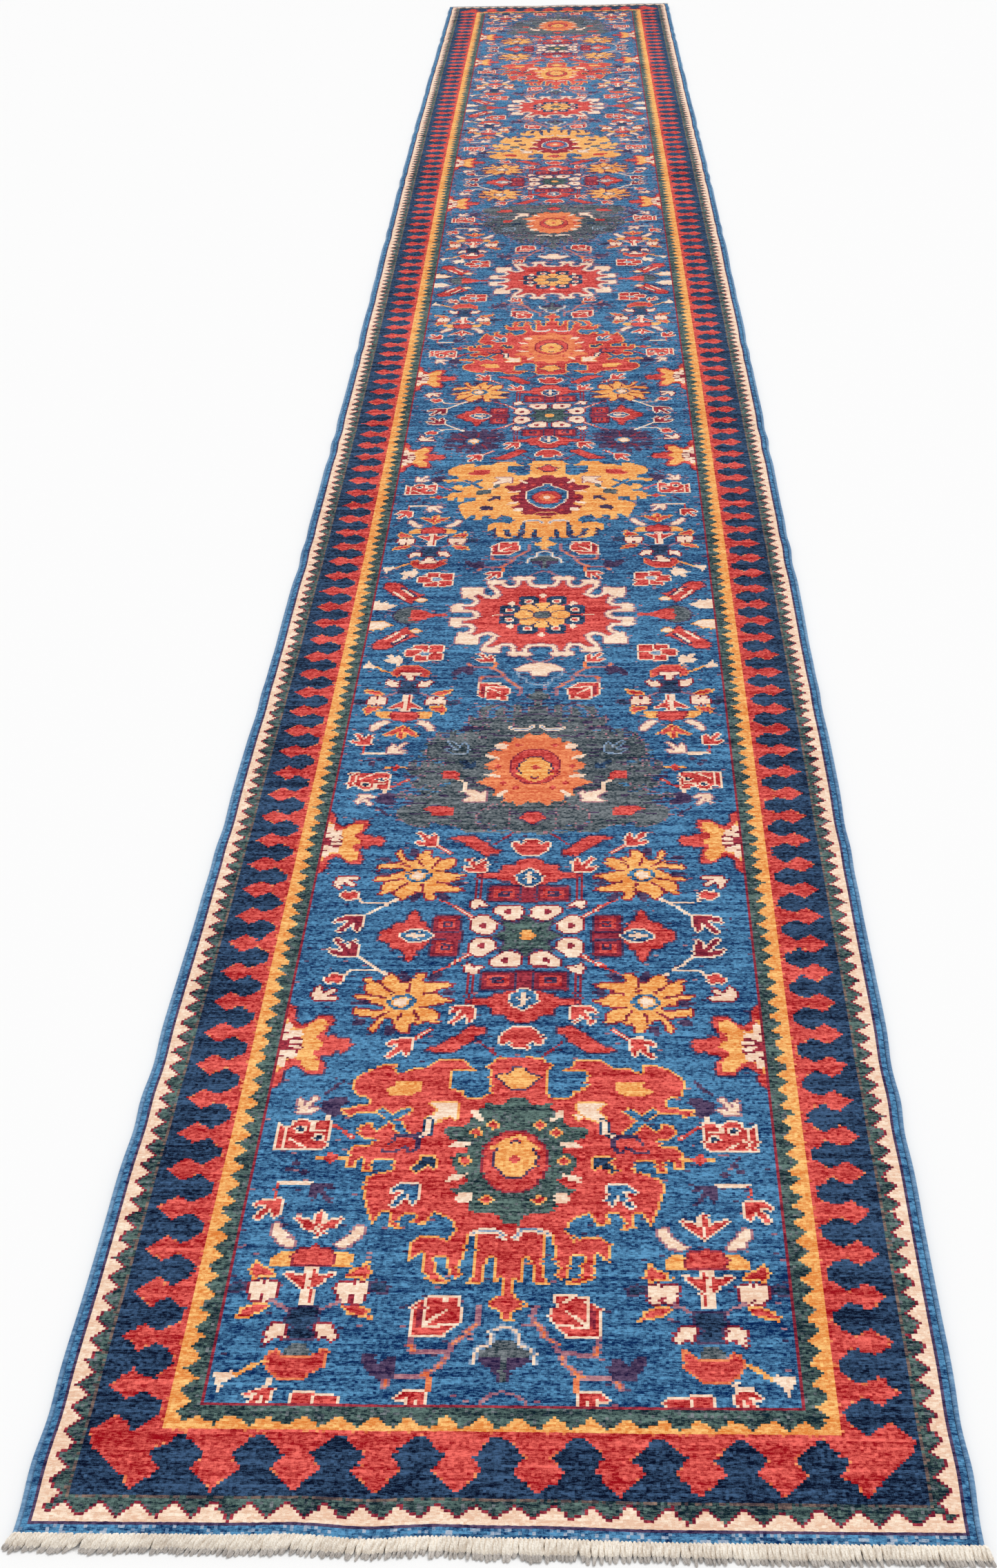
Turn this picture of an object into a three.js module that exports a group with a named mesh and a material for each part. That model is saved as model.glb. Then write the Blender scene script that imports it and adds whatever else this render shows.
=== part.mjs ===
// A hand-knotted runner rug: woven foundation, wool pile laid out in a field and its borders,
// overcast selvedges along both sides, and twined ends with a short warp fringe.
// Millimetres, +Z up, +Y along the rug, origin under the middle of the rug on the floor.
import * as THREE from "three";

// Sizes that can be set by themselves
const rugWidth = 840; // over both selvedges
const pileLength = 6928; // from the first row of knots to the last
const foundationThickness = 2.5;
const pileHeight = 5.2; // from the foundation to the cut tips of the wool
const gap = 0.3; // between pieces that touch

const selvedgeDiameter = 6; // over the overcasting
const overcastThickness = 0.8; // the wool wound round the core
const selvedgeSides = 16;

const twiningDiameter = 2.4; // the cord that locks the last wefts
const twiningSides = 10;

const fringeLength = 22; // tuft tips from the start of the fringe
const fringeThickness = 4;
const fringeHeading = 4; // the strip where the tufts still lie in the last wefts
const fringeRuns = 5; // separate runs of tufts at each end
const tuftsPerRun = 14;
const tuftSpacing = 1.2; // clear space between two tufts
const tuftSlant = 5; // sideways lean of a tuft over its length

// Borders from the selvedge inwards: how wide each is along the sides and across the ends
const borders = [
  { name: "edge_band", side: 8, end: 13, colour: 0x2f5f8f },
  { name: "outer_guard", side: 28, end: 26, colour: 0xe6d3b8 },
  { name: "main_border", side: 70, end: 72, colour: 0xb9363f },
  { name: "inner_guard", side: 28, end: 27, colour: 0xd9973f },
  { name: "field_stripe", side: 4, end: 3, colour: 0xb03a48 },
];

const fieldColour = 0x2e6299;
const cottonColour = 0xd9d0c0;
const selvedgeColour = 0x5b93c7;
const woolRoughness = 0.95;

// Worked out from the sizes above
const pileBase = foundationThickness + gap;
const pileHalfWidth = rugWidth / 2 - selvedgeDiameter - gap;
const pileHalfLength = pileLength / 2;
const selvedgeX = rugWidth / 2 - selvedgeDiameter / 2;
const twiningY = pileHalfLength + gap + twiningDiameter / 2;
const fringeStart = twiningY + twiningDiameter / 2 + gap;

const rug = new THREE.Group();

// Adds one named piece of wool or cotton to the rug.
function addPiece(name, geometry, colour, roughness = woolRoughness) {
  const material = new THREE.MeshStandardMaterial({ color: colour, roughness, metalness: 0 });
  const piece = new THREE.Mesh(geometry, material);
  piece.name = name;
  rug.add(piece);
  return piece;
}

// A flat slab between two corners in plan, standing on a given height.
function slab(x0, x1, y0, y1, z0, thickness) {
  const box = new THREE.BoxGeometry(x1 - x0, y1 - y0, thickness);
  return box.translate((x0 + x1) / 2, (y0 + y1) / 2, z0 + thickness / 2);
}

// The warps and wefts, which reach from selvedge to selvedge and carry every knot.
function addFoundation() {
  const web = slab(
    -pileHalfWidth, pileHalfWidth, -pileHalfLength, pileHalfLength, 0, foundationThickness,
  );
  addPiece("foundation_web", web, cottonColour);
}

// One border round what is left of the pile: two side runs at full length, two end runs between them.
function addBorder({ name, side, end, colour }, halfWidth, halfLength) {
  const innerX = halfWidth - side + gap;
  const innerY = halfLength - end + gap;
  const endX = innerX - gap;
  const runs = {
    left: [-halfWidth, -innerX, -halfLength, halfLength],
    right: [innerX, halfWidth, -halfLength, halfLength],
    near: [-endX, endX, -halfLength, -innerY],
    far: [-endX, endX, innerY, halfLength],
  };
  for (const [place, corners] of Object.entries(runs))
    addPiece(name + "_" + place, slab(...corners, pileBase, pileHeight), colour);
}

// Every area of the pile, from the edge band inwards to the field.
function addPile() {
  let halfWidth = pileHalfWidth;
  let halfLength = pileHalfLength;
  for (const border of borders) {
    addBorder(border, halfWidth, halfLength);
    halfWidth -= border.side;
    halfLength -= border.end;
  }
  const field = slab(-halfWidth, halfWidth, -halfLength, halfLength, pileBase, pileHeight);
  addPiece("field", field, fieldColour);
}

// A round outline, drawn as a shape or as a hole.
function circlePoints(radius, sides) {
  return new THREE.EllipseCurve(0, 0, radius, radius, 0, 2 * Math.PI).getPoints(sides).slice(0, -1);
}

// Each side's core of bundled warps, and the wool wound round it.
function addSelvedges() {
  const outerRadius = selvedgeDiameter / 2;
  const boreRadius = outerRadius - overcastThickness;
  const along = { depth: pileLength, bevelEnabled: false };
  for (const [place, sign] of [["left", -1], ["right", 1]]) {
    const sleeve = new THREE.Shape(circlePoints(outerRadius, selvedgeSides));
    sleeve.holes.push(new THREE.Path(circlePoints(boreRadius, selvedgeSides)));
    const core = new THREE.Shape(circlePoints(boreRadius - gap, selvedgeSides));
    for (const [name, outline, colour] of [
      ["selvedge_overcast_", sleeve, selvedgeColour],
      ["selvedge_core_", core, cottonColour],
    ]) {
      const cord = addPiece(name + place, new THREE.ExtrudeGeometry(outline, along), colour);
      cord.rotation.x = Math.PI / 2;
      cord.position.set(sign * selvedgeX, pileHalfLength, outerRadius);
    }
  }
}

// The cord twined across each end, which stops the last wefts from working loose.
function addTwining() {
  for (const [place, sign] of [["near", -1], ["far", 1]]) {
    const radius = twiningDiameter / 2;
    const cord = new THREE.CylinderGeometry(radius, radius, 2 * pileHalfWidth, twiningSides);
    const twining = addPiece("weft_twining_" + place, cord, cottonColour);
    twining.rotation.z = Math.PI / 2;
    twining.position.set(0, sign * twiningY, radius);
  }
}

// The plan outline of one run of tufts: a straight heading with slanting fingers.
function fringeOutline(x0, x1) {
  const pitch = (x1 - x0 + tuftSpacing) / tuftsPerRun;
  const points = [[x1, 0], [x0, 0]];
  for (let tuft = 0; tuft < tuftsPerRun; tuft++) {
    const left = x0 + tuft * pitch;
    const right = left + pitch - tuftSpacing;
    points.push(
      [left, fringeHeading],
      [left + tuftSlant, fringeLength],
      [right + tuftSlant, fringeLength],
      [right, fringeHeading],
    );
  }
  return new THREE.Shape(points.map(([x, y]) => new THREE.Vector2(x, y)));
}

// The warp ends beyond the twining, in separate runs across each end.
function addFringe() {
  const runWidth = (2 * pileHalfWidth - tuftSlant + gap) / fringeRuns;
  for (let run = 0; run < fringeRuns; run++) {
    const x0 = -pileHalfWidth + run * runWidth;
    const outline = fringeOutline(x0, x0 + runWidth - gap);
    const upright = { depth: fringeThickness, bevelEnabled: false };
    for (const [place, turn] of [["far", 0], ["near", Math.PI]]) {
      const tufts = new THREE.ExtrudeGeometry(outline, upright);
      const piece = addPiece("fringe_" + place + "_" + (run + 1), tufts, cottonColour);
      piece.rotation.z = turn;
      piece.position.y = turn ? -fringeStart : fringeStart;
    }
  }
}

addFoundation();
addPile();
addSelvedges();
addTwining();
addFringe();

export default rug;
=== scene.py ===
import math

import bmesh
import bpy
import numpy as np
from mathutils import Matrix, Vector


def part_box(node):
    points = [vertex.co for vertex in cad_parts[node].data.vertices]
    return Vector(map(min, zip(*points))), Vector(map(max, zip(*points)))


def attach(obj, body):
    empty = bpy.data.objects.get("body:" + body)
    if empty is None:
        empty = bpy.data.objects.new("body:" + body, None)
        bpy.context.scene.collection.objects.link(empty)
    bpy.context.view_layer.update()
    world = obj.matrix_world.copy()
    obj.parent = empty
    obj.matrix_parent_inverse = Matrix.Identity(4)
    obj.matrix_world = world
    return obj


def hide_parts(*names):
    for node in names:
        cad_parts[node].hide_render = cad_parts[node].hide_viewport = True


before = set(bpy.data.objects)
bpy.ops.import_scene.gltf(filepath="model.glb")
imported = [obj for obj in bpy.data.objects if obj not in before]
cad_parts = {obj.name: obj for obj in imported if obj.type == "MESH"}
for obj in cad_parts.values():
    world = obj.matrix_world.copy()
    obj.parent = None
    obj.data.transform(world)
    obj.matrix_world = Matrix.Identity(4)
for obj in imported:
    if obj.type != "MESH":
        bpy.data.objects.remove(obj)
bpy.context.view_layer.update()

# ---------------------------------------------------------------------------------------------
# The weaver's chart. A runner like this is tied from a squared paper chart: one square is one
# knot, and each square names the wool it is tied in. The chart here is drawn the same way, in
# millimetres across and along the rug, and the pile further down is tied from it knot by knot.
KNOT = 3.0
WOOLS = (
    "field_blue", "navy", "pale_blue", "madder", "burgundy", "gold",
    "orange", "ivory", "forest", "plum", "rose", "green", "umber",
)


class Chart:
    """A squared chart whose first knot's corner lies at (x0, y0), one wool number a knot."""

    def __init__(self, x0, y0, columns, rows, ground):
        across = x0 + (np.arange(columns) + 0.5) * KNOT
        along = y0 + (np.arange(rows) + 0.5) * KNOT
        self.x, self.y = np.meshgrid(across, along)
        self.wool = np.full(self.x.shape, WOOLS.index(ground), np.uint8)

    def inside(self, *outlines):
        """The knots inside any of the outlines."""
        found = np.zeros(self.x.shape, bool)
        for outline in outlines:
            mask = np.zeros(self.x.shape, bool)
            for (xa, ya), (xb, yb) in zip(outline, outline[1:] + outline[:1]):
                if ya == yb:
                    continue
                rows = (ya > self.y) != (yb > self.y)
                mask ^= rows & (self.x < xa + (self.y - ya) * (xb - xa) / (yb - ya))
            found |= mask
        return found

    def oval(self, x, y, across, along):
        return ((self.x - x) / across) ** 2 + ((self.y - y) / along) ** 2 < 1

    def path(self, points, width):
        """The knots within half a width of a line through the points."""
        near = np.full(self.x.shape, np.inf)
        for (xa, ya), (xb, yb) in zip(points, points[1:]):
            dx, dy = xb - xa, yb - ya
            part = ((self.x - xa) * dx + (self.y - ya) * dy) / (dx * dx + dy * dy)
            part = np.clip(part, 0, 1)
            near = np.minimum(near, np.hypot(self.x - xa - part * dx, self.y - ya - part * dy))
        return near < width / 2

    def tie(self, knots, wool, edge=None, outside=False):
        """Ties the knots in one wool, and the row round their border in another."""
        if edge:
            grown = np.pad(knots, 1, mode="edge")
            around = (grown[:-2, 1:-1], grown[2:, 1:-1], grown[1:-1, :-2], grown[1:-1, 2:])
            if outside:
                rim = np.logical_or.reduce(around) & ~knots
                self.wool[rim] = WOOLS.index(edge)
            else:
                rim = knots & ~np.logical_and.reduce(around)
        self.wool[knots] = WOOLS.index(wool)
        if edge and not outside:
            self.wool[rim] = WOOLS.index(edge)


def petal(x, y, angle, start, length, half_width):
    """One flower petal's outline: narrow at the heart, full near its blunt tip."""
    half = (
        (start, 0.4), (0.5 * length, 0.85), (0.75 * length, 1), (0.92 * length, 0.75), (length, 0.25),
    )
    side = [(r, half_width * w) for r, w in half]
    outline = side + [(r, -w) for r, w in reversed(side)]
    c, s = math.cos(math.radians(angle)), math.sin(math.radians(angle))
    return [(x + r * c - w * s, y + r * s + w * c) for r, w in outline]


def tulip(x, y, to_x=1, to_y=1, size=1.0):
    """A three-pointed bud that opens away from its stem's corner."""
    outline = (
        (0, 0), (0, 20), (4, 31), (8, 22), (8, 12), (22, 33), (27, 31), (15, 11), (16, 8), (30, 12),
        (24, 2), (14, 0),
    )
    return [(x + to_x * size * a, y + to_y * size * b) for a, b in outline]


def block(x, y, across, along):
    """The four corners of a block, from its middle and its half sizes."""
    return [
        (x - across, y - along), (x + across, y - along), (x + across, y + along), (x - across, y + along),
    ]


# The square flower: eight ivory eggs round a green rosette, with a small palmette on each of its
# four sides, four daisies off its corners, and budded branches towards the borders. Distances
# run from the middle of the square flower, and each quarter repeats as a mirror image.
DAISY = [
    (203, 122), (200, 117), (188, 117), (193, 108), (190, 98), (195, 90), (186, 85), (178, 92),
    (171, 88), (164, 76), (157, 77), (151, 89), (146, 93), (138, 92), (132, 77), (124, 74), (117, 80),
    (120, 92), (108, 92), (92, 94), (81, 98), (86, 105), (104, 112), (97, 122), (81, 128), (84, 134),
    (98, 138), (112, 142), (98, 150), (95, 160), (98, 174), (107, 175), (116, 170), (120, 177),
    (128, 175), (130, 191), (140, 191), (150, 178), (156, 166), (162, 170), (167, 187), (174, 193),
    (179, 181), (174, 171), (170, 164), (184, 163), (198, 159), (203, 150), (197, 142), (182, 145),
    (168, 148), (164, 142), (172, 139), (184, 135), (182, 128), (197, 128),
]
DAISY_VEINS = (
    ((138, 112), (136, 90)), ((120, 117), (103, 113)), ((158, 114), (176, 92)), ((165, 124), (188, 118)),
    ((122, 142), (112, 143)), ((128, 150), (117, 171)), ((142, 154), (146, 168)), ((158, 152), (172, 164)),
)
DAISY_SHADOWS = (
    [(144, 176), (150, 197), (160, 193), (158, 176)],
    [(182, 170), (186, 178), (199, 177), (196, 167), (186, 164)],
    [(184, 130), (184, 138), (200, 138), (206, 134), (192, 130)],
    [(82, 112), (90, 121), (102, 117), (92, 108)],
    [(138, 94), (140, 76), (148, 71), (152, 80), (150, 92)],
    [(100, 82), (108, 93), (118, 90), (113, 77), (102, 72)],
)


def draw_small_palmette(chart, place):
    """Half of a palmette on its axis; place turns lengths along and off the axis into the chart's."""
    def outline(*points):
        return [place(u, v) for u, v in points]
    flower = outline(
        (30, -9), (32, 12), (40, 14), (46, 20), (47, 28), (54, 30), (57, 46), (62, 54), (67, 50), (70, 34),
        (78, 28), (86, 28), (88, 17), (96, 13), (103, 7), (103, -9),
    )
    heart = outline((0, -9), (0, 9), (8, 14), (20, 8), (36, 12), (36, -9))
    chart.tie(chart.inside(flower), "madder", "plum", outside=True)
    chart.tie(chart.inside(heart), "burgundy", "plum", outside=True)
    # a square eye with a square ring in it
    eye = (16.5, "burgundy", "plum"), (11, "madder", None), (6.5, "plum", None), (2.5, "madder", None)
    for half, wool, rim in eye:
        chart.tie(chart.inside(outline(*block(20, 25, half, half))), wool, rim, outside=True)
    diamond = outline((34, -7), (34, 2), (46, 13), (62, 16), (73, 9), (80, 2), (80, -7))
    chart.tie(chart.inside(diamond), "field_blue", "ivory")
    chart.tie(chart.path(outline((46, 0), (70, 0)), 4), "ivory")
    chart.tie(chart.path(outline((62, 1), (54, 7)), 3.2), "ivory")


def draw_square_flower(chart, daisy_wool):
    chart.tie(chart.path([(66, 36), (112, 80)], 6), "ivory", "madder")
    draw_small_palmette(chart, lambda u, v: (80 + u, v))
    draw_small_palmette(chart, lambda u, v: (1.25 * v, 72 + 0.96 * u))

    egg = [(6, 41), (6, 58), (11, 64), (37, 64), (43, 58), (43, 48), (36, 44), (27, 33), (13, 35)]
    for outline, dot in ((egg, (25, 51)), ([(y + 4, x) for x, y in egg], (55, 21))):
        chart.tie(chart.inside(outline), "ivory", "burgundy", outside=True)
        chart.tie(chart.oval(*dot, 5.5, 5.5), "burgundy")
    rosette = [(r * math.cos(math.radians(a)), r * math.sin(math.radians(a)))
               for r, a in zip((45, 28) * 4 + (45,), (22.5 * k for k in range(-2, 7)))]
    chart.tie(chart.inside(rosette + [(-9, 0)]), "green", "plum", outside=True)
    chart.tie(chart.oval(0, 0, 10, 10), "gold")

    # the daisy with dark shadows between its petals, and the bud on a stem beyond it
    chart.tie(chart.inside(*DAISY_SHADOWS), "plum")
    chart.tie(chart.inside(DAISY), daisy_wool, "burgundy" if daisy_wool == "gold" else "plum")
    for vein in DAISY_VEINS:
        chart.tie(chart.path(vein, 3.8), "burgundy")
    chart.tie(chart.oval(144, 132, 17, 16), "field_blue")
    chart.tie(chart.oval(145, 132, 8.5, 8), "ivory", "gold", outside=True)
    chart.tie(chart.path([(106, 184), (126, 204)], 6), "ivory", "madder")
    chart.tie(chart.inside(tulip(126, 202)), "madder", "ivory", outside=True)

    # twin stems with a bud at each end, beside the palmette on the long axis
    for stem in (62, 68):
        chart.tie(chart.path([(stem, 78), (stem, 138)], 3), "burgundy")
    chart.tie(chart.inside(tulip(57, 140)), "madder", "ivory", outside=True)
    chart.tie(chart.inside([(50, 64), (62, 78), (72, 76), (72, 62), (66, 56), (62, 66), (58, 62)]), "ivory",
              "burgundy", outside=True)

    # the branch towards the border, with a dark bud, a heart and a hooked leaf
    chart.tie(chart.path([(168, 78), (206, 42)], 4.5), "ivory")
    chart.tie(chart.path([(176, 71), (210, 71), (219, 82)], 4.5), "ivory")
    chart.tie(chart.inside(tulip(208, 42, 1, -1, 1.15)), "burgundy", "ivory", outside=True)
    chart.tie(chart.inside([(219, 80), (219, 92), (225, 98), (230, 92), (238, 96), (241, 86), (234, 79)]),
              "madder", "ivory", outside=True)
    hooked_leaf = [(218, 125), (226, 130), (246, 130), (251, 122), (250, 106), (245, 102), (240, 117),
                   (228, 108), (224, 112), (236, 122)]
    chart.tie(chart.inside(hooked_leaf), "ivory", "burgundy", outside=True)

    # on the long axis a red bud, and off it a slanting red leaf on a thin stem
    chart.tie(chart.inside([(-9, 180), (12, 180), (20, 190), (24, 203), (22, 214), (15, 205), (9, 206),
                            (8, 216), (-9, 216)]), "madder", "ivory", outside=True)
    chart.tie(chart.path([(24, 234), (48, 206)], 3.2), "burgundy")
    chart.tie(chart.inside([(42, 180), (42, 190), (50, 196), (62, 212), (78, 226), (94, 226), (110, 219),
                            (96, 214), (84, 204), (72, 190), (58, 178)]), "madder", "plum", outside=True)


def mirrored(half, axis):
    """A half outline with its mirror image across a line y = axis."""
    return half + [(x, 2 * axis - y) for x, y in reversed(half)]


def draw_border_rosette(chart):
    """Half a rosette that grows out of the field's edge."""
    axis = 212
    lobes = mirrored([
        (300, 292), (276, 290), (266, 280), (263, 258), (256, 250), (248, 256), (240, 268), (221, 267),
        (217, 254), (222, 240), (226, 229), (215, 233), (212, 225), (204, 228), (196, 222), (193, 214),
    ], axis)
    chart.tie(chart.inside(lobes), "madder", "plum")
    arms = mirrored([(300, 280), (280, 270), (264, 240), (252, 242), (241, 258), (228, 257), (229, 240),
                     (238, 226), (227, 214)], axis)
    chart.tie(chart.inside(arms), "gold")
    chart.tie(chart.inside(mirrored([(300, 250), (276, 246), (262, 236), (252, 222), (252, 214)], axis)),
              "burgundy")
    for x, y, across, along in ((262, 20, 8, 7), (271, 31, 5.5, 9), (272, 14, 7, 5), (260, 5, 8, 4)):
        for side in (1, -1):
            chart.tie(chart.oval(x, axis + side * y, across, along), "ivory")


# The great palmette: a serrated blossom in half view, with a crown towards the square flower, a
# round heart in a wreath, and a tassel towards the oval medallion. It comes in red, dark green and gold.
HEART = 405
PALMETTE_BODY = [
    (-9, 231), (24, 233), (30, 240), (40, 250), (34, 256), (34, 298), (40, 303), (57, 303), (62, 291),
    (76, 288), (76, 262), (72, 257), (46, 257), (55, 250), (62, 240), (68, 236), (90, 236), (104, 251),
    (124, 252), (138, 262), (139, 247), (154, 247), (170, 255), (184, 270), (187, 284), (180, 300),
    (166, 305), (166, 318), (194, 322), (193, 331), (182, 337), (176, 330), (152, 331), (145, 340),
    (152, 350), (160, 344), (172, 350), (174, 362), (166, 371), (154, 373), (156, 380), (174, 381),
    (180, 392), (179, 418), (169, 418), (166, 403), (162, 403), (162, 423), (150, 423), (150, 405),
    (130, 405), (130, 419), (142, 424), (156, 432), (159, 446), (154, 466), (149, 486), (143, 501),
    (133, 482), (127, 483), (126, 504), (110, 508), (117, 497), (110, 485), (98, 486), (103, 498),
    (88, 501), (80, 483), (60, 495), (58, 508), (64, 521), (76, 516), (90, 516), (101, 526),
    (101, 553), (88, 541), (86, 566), (82, 576), (66, 583), (54, 580), (70, 570), (75, 543), (64, 543),
    (61, 566), (54, 576), (45, 570), (50, 560), (44, 540), (43, 514), (36, 514), (35, 566), (42, 583),
    (28, 583), (24, 575), (22, 548), (15, 546), (15, 579), (6, 576), (5, 590), (18, 604), (18, 611),
    (7, 618), (5, 630), (-9, 630),
]


WREATH = [
    (-9, 300), (10, 304), (16, 316), (36, 312), (38, 322), (48, 330), (52, 345), (60, 352), (76, 350),
    (78, 362), (66, 372), (58, 380), (50, 384), (52, 392), (64, 396), (66, 412), (60, 424), (50, 430),
    (46, 436), (58, 446), (66, 448), (60, 456), (50, 462), (44, 470), (46, 478), (34, 484), (24, 482),
    (14, 486), (8, 498), (-9, 500),
]
SUNBURST = [
    (-9, 304), (8, 312), (20, 300), (28, 314), (44, 310), (41, 326), (57, 328), (53, 342), (62, 351),
    (81, 362), (62, 375), (66, 384), (54, 392), (69, 399), (71, 412), (58, 424), (67, 440), (60, 450),
    (50, 446), (54, 462), (48, 476), (38, 470), (34, 486), (22, 482), (12, 498), (4, 490), (-9, 494),
]


DARK_CLOUD = [(-9, 231), (95, 234), (140, 247), (188, 270), (196, 322), (182, 400), (160, 470), (143, 503),
              (108, 512), (104, 566), (84, 584), (40, 590), (12, 612), (-9, 616)]


def draw_palmette(chart, colour, wreath, seed):
    """The blossom in its own wool, with the details that change from one colour to the next."""
    dice = np.random.default_rng(seed)
    body = chart.inside(PALMETTE_BODY)
    x_marks = chart.path([(121, 361), (149, 326)], 8) | chart.path([(122, 326), (152, 352)], 8)
    body &= ~(x_marks & (chart.x > 117))
    accent = "gold" if colour == "madder" else "madder"
    if colour == "forest":
        # the dark palmette melts into the field: its wool thins out in short runs of knots, and only
        # broken rose dashes are left of its outline
        cloud = chart.inside(DARK_CLOUD)
        runs = dice.random((UNIT_ROWS, FIELD_HALF // 5 + 2))
        shift = dice.integers(0, 5, UNIT_ROWS)
        run = runs[np.arange(UNIT_ROWS)[:, None], (np.arange(FIELD_HALF)[None] + shift[:, None]) // 5]
        depth = np.hypot(chart.x / 172, (chart.y - 385) / 178) ** 5
        chart.tie(cloud & (run > 0.8 * depth), colour)
        chart.tie(cloud & (run < 0.12 + 0.16 * (chart.y > 500)), "plum")
        chart.tie(body, colour)
        grown = np.pad(body, 1, mode="edge")
        inner = grown[:-2, 1:-1] & grown[2:, 1:-1] & grown[1:-1, :-2] & grown[1:-1, 2:]
        chart.tie(body & ~inner & (dice.random(body.shape) < 0.33), "rose")
        chart.tie(body & (run > 0.93), "plum")
    else:
        chart.tie(body, colour, "gold")
    if colour == "gold":
        tassels = [(-9, 500), (50, 500), (64, 521), (101, 526), (92, 572), (45, 586), (30, 583), (-9, 583)]
        shadow = chart.inside(tassels) & ~body
        chart.tie(shadow & (dice.random(body.shape) < 0.6), "plum")
    chart.tie(chart.path([(6, 518), (12, 509), (32, 508), (40, 514)], 7), "pale_blue", "ivory")

    # crown bud, shoulder patch, and the eyes and arrows that lie in the blossom
    bud = [(-9, 250), (5, 251), (10, 262), (23, 268), (14, 280), (6, 289), (-9, 290)]
    chart.tie(chart.inside(bud), accent, "plum", outside=colour == "madder")
    patch = [(108, 276), (107, 294), (118, 299), (142, 300), (150, 292), (139, 284), (137, 275)]
    chart.tie(chart.inside(patch), accent)
    arrow = [(66, 311), (66, 341), (73, 333), (90, 343), (99, 339), (86, 324), (99, 312)]
    chart.tie(chart.inside(arrow), "ivory", "gold" if colour == "madder" else "rose", outside=True)
    chart.tie(chart.path([(95, 341), (95, 358), (106, 368)], 6), "ivory",
              "navy" if colour == "madder" else None, outside=True)
    if colour == "gold":
        square_leaf = [(103, 368), (102, 384), (108, 390), (128, 393), (131, 384), (126, 372)]
        drop = [(88, 344), (88, 356), (94, 364), (98, 358), (97, 344)]
        chart.tie(chart.inside(square_leaf, drop), "forest")
    elif colour == "madder":
        for points in (
            [(105, 370), (105, 387), (114, 392), (118, 383), (130, 392), (142, 390)],
            [(107, 366), (130, 366), (136, 380)],
        ):
            chart.tie(chart.path(points, 3.6), "plum")
    else:
        chart.tie(chart.inside([(106, 370), (106, 386), (112, 392), (128, 394), (128, 372)]), "madder")
    small_arrow = [(85, 400), (85, 418), (91, 411), (103, 424), (110, 418), (98, 406), (104, 400)]
    chart.tie(chart.inside(small_arrow), "navy" if colour != "gold" else "plum",
              "gold" if colour == "madder" else None, outside=True)
    if colour == "gold":
        dark_block = [(97, 447), (96, 464), (104, 460), (116, 464), (121, 448), (110, 442)]
        chart.tie(chart.inside(dark_block), "plum")
    else:
        filling = "field_blue" if colour == "madder" else "forest"
        rim = "ivory" if colour == "madder" else "pale_blue"
        chart.tie(chart.inside(tulip(99, 441, 1, 1, 1.0)), filling, rim, outside=True)

    # wreath, heart and the ivory petal tips between them
    chart.tie(chart.inside(SUNBURST if colour == "forest" else WREATH), wreath)
    tips = (
        [(34, 342), (40, 344), (50, 334), (52, 322), (44, 326)],
        [(46, 378), (60, 385), (73, 383), (66, 375), (50, 374)],
        [(50, 424), (58, 436), (72, 437), (66, 426)],
        [(40, 462), (46, 468), (62, 466), (56, 454), (44, 452)],
    )
    for tip in tips:
        chart.tie(chart.inside(tip), "ivory")
    for x, y in ((52, 405), (27, 463), (26, 348), (44, 360)):
        chart.tie(chart.oval(x, y, 5, 5), "madder", "gold" if wreath == "green" else None, outside=True)
    if colour == "gold":
        chart.tie(chart.inside([(-9, 457), (14, 454), (37, 424), (39, 380), (16, 357), (10, 354), (10, 341),
                                (-9, 341)]), "field_blue", "ivory")
        chart.tie(chart.oval(0, HEART + 2, 27, 30), "madder", "burgundy")
        chart.tie(chart.oval(0, HEART + 2, 14, 16), "orange")
        chart.tie(chart.oval(0, HEART + 2, 6, 7), "ivory")
        chart.tie(chart.inside([(-9, 470), (14, 472), (24, 480), (20, 490), (-9, 492)]), "burgundy", "gold")
    else:
        chart.tie(chart.oval(0, HEART, 37, 49), "madder", "burgundy")
        flower = [(-9, 371), (6, 378), (16, 384), (23, 397), (21, 412), (13, 419), (9, 428), (-9, 432)]
        chart.tie(chart.inside(flower), "gold", "plum", outside=True)
        leaf = [(-3, 362), (8, 366), (22, 380), (26, 386), (12, 384)]
        chart.tie(chart.inside(leaf), "gold")
        chart.tie(chart.oval(0, HEART - 3, 5, 6), "madder")


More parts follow.
